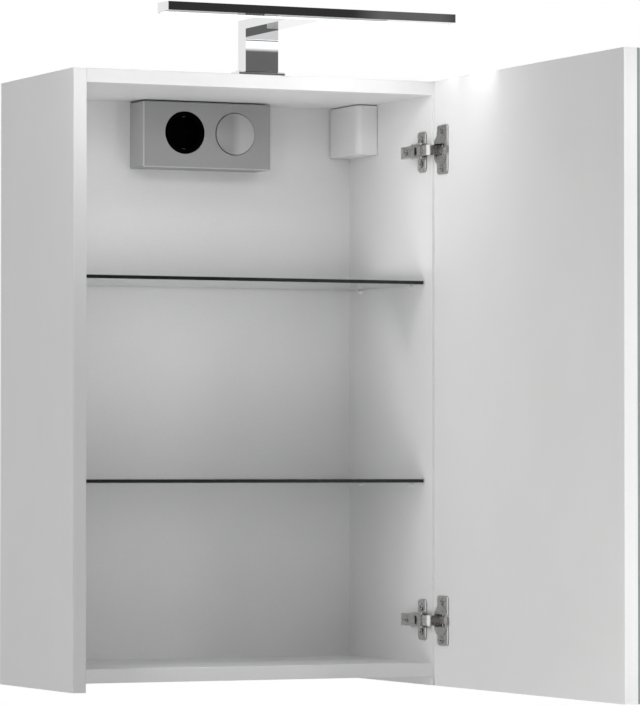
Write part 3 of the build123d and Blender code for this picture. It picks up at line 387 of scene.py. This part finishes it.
# The lamp is lit, and soft boxes round the object and inside it even out the rest. Each row
# gives place, target, width and height, and power in watts.
soft_lights = {
    "lamp_glow": ((0.002, -0.3545, 0.4015), (0.002, -0.3545, 0.0), (0.34, 0.026), 0.23),
    "left_box": ((-3.0, -0.9, 0.5), (0, -0.2, 0), (1.6, 1.6), 22.5),
    "left_low_box": ((-3.0, -0.9, -1.1), (0, -0.2, -0.3), (1.0, 0.8), 14.5),
    "door_edge_strip": ((0.245, -0.80, 0.0), (0.226, -0.69, 0.0), (0.01, 0.84), 0.42),
    "door_edge_top": ((0.245, -0.80, 0.32), (0.226, -0.69, 0.32), (0.01, 0.10), 0.02),
    "top_edge_strip": ((0.05, -0.40, 0.37), (0.05, -0.232, 0.335), (0.30, 0.02), 0.110),
    "top_right_strip": ((0.14, -0.30, 0.36), (0.14, -0.232, 0.342), (0.16, 0.01), 0.022),
    "corner_box": ((-0.27, -0.42, 0.36), (-0.223, -0.232, 0.30), (0.05, 0.05), 0.207),
    "ceiling_box": ((0, -0.15, 0.125), (0, -0.15, 0.33), (0.40, 0.16), 0.148),
    "shelf_box": ((0, -0.15, 0.07), (0, -0.05, 0.0), (0.36, 0.10), 0.072),
    "door_box": ((-0.2, -1.1, 0.0), (0.216, -0.45, 0.0), (0.4, 0.4), 0.50),
    "low_door_box": ((-0.2, -0.9, -0.55), (0.216, -0.45, -0.3), (0.3, 0.3), 0.70),
    "side_wall_box": ((-0.15, -0.29, -0.09), (0.216, -0.18, -0.09), (0.14, 0.38), 0.165),
    "upper_wall_box": ((-0.19, -0.18, 0.20), (0.216, -0.22, 0.20), (0.20, 0.12), 0.025),
    "seam_strip": ((0.2195, -0.2342, 0.0), (0.2160, -0.2325, 0.0), (0.001, 0.68), 0.0035),
    "back_box": ((1.4, 3.0, 1.6), (0, 0, 0), (1.6, 1.6), 30.0),
    "right_box": ((3.2, 0.6, 0.8), (0.2, 0, 0), (1.6, 1.6), 30.0),
    "top_box": ((0.2, 0.5, 3.2), (0, 0, 0.35), (1.4, 1.4), 20.0),
}
for name, settings in soft_lights.items():
    area_light(name, *settings)


def card(name, centre, size, stops, streak=None):
    """Upright card that shows only in reflections, as cards round polished metal do in a
    studio. Its level changes with height at the stops (height, level), and a lighter streak
    may run up it at (low x, high x, level)."""
    bpy.ops.mesh.primitive_grid_add(x_subdivisions=2, y_subdivisions=2, size=1.0)
    sheet = bpy.context.object
    sheet.name = name
    sheet.data.transform(Matrix.Rotation(math.radians(90), 4, "X"))
    sheet.data.transform(Matrix.Diagonal((size[0], 1.0, size[1], 1.0)))
    sheet.data.transform(Matrix.Translation(centre))
    for kind in ("camera", "diffuse", "transmission", "volume_scatter", "shadow"):
        setattr(sheet, "visible_" + kind, False)
    graph = Graph(name + "_cloth")
    across, _, up = graph.parts(graph.place.outputs["Object"])
    level = stops[0][1]
    for (low, before), (high, after) in zip(stops, stops[1:]):
        step = graph.spread(up, 0.0, 1.0, low, high)
        level = graph.math("MULTIPLY_ADD", step, after - before, level)
    if streak:
        low, high, extra = streak
        middle, half = (low + high) / 2, (high - low) / 2
        distance = graph.math("ABSOLUTE", graph.math("SUBTRACT", across, middle))
        inside = graph.spread(distance, 1.0, 0.0, half * 0.5, half)
        level = graph.math("MULTIPLY_ADD", inside, extra, level)
    weave = graph.spread(graph.noise(30.0), 0.96, 1.04)
    glow = graph.add("ShaderNodeEmission")
    graph.link(graph.math("MULTIPLY", level, weave), glow.inputs["Strength"])
    graph.link(glow.outputs[0], graph.output.inputs["Surface"])
    sheet.data.materials.append(graph.material)


card_dark, card_bright, card_black = 0.163, 1.35, 0.04
card_stops = [
    (-0.30, card_dark), (0.704, card_dark), (0.711, card_bright),
    (0.731, card_bright), (0.735, card_black), (1.2, card_black),
]
card("studio_card", (1.4, -3.4, 0.45), (1.8, 1.5), card_stops, streak=(1.46, 1.70, 0.11))

# Camera
camera_data = bpy.data.cameras.new("photo_camera")
camera_data.lens = camera_lens
camera_data.sensor_width = camera_sensor
camera_data.sensor_fit = "AUTO"
camera_data.clip_end = camera_far
camera = bpy.data.objects.new("photo_camera", camera_data)
bpy.context.scene.collection.objects.link(camera)
camera.location = camera_place
tilt, turn = math.radians(90 + camera_pitch), math.radians(-camera_yaw)
camera.rotation_euler = Euler((tilt, 0.0, turn), "XYZ")
bpy.context.scene.camera = camera
bpy.context.scene.view_settings.view_transform = "Standard"
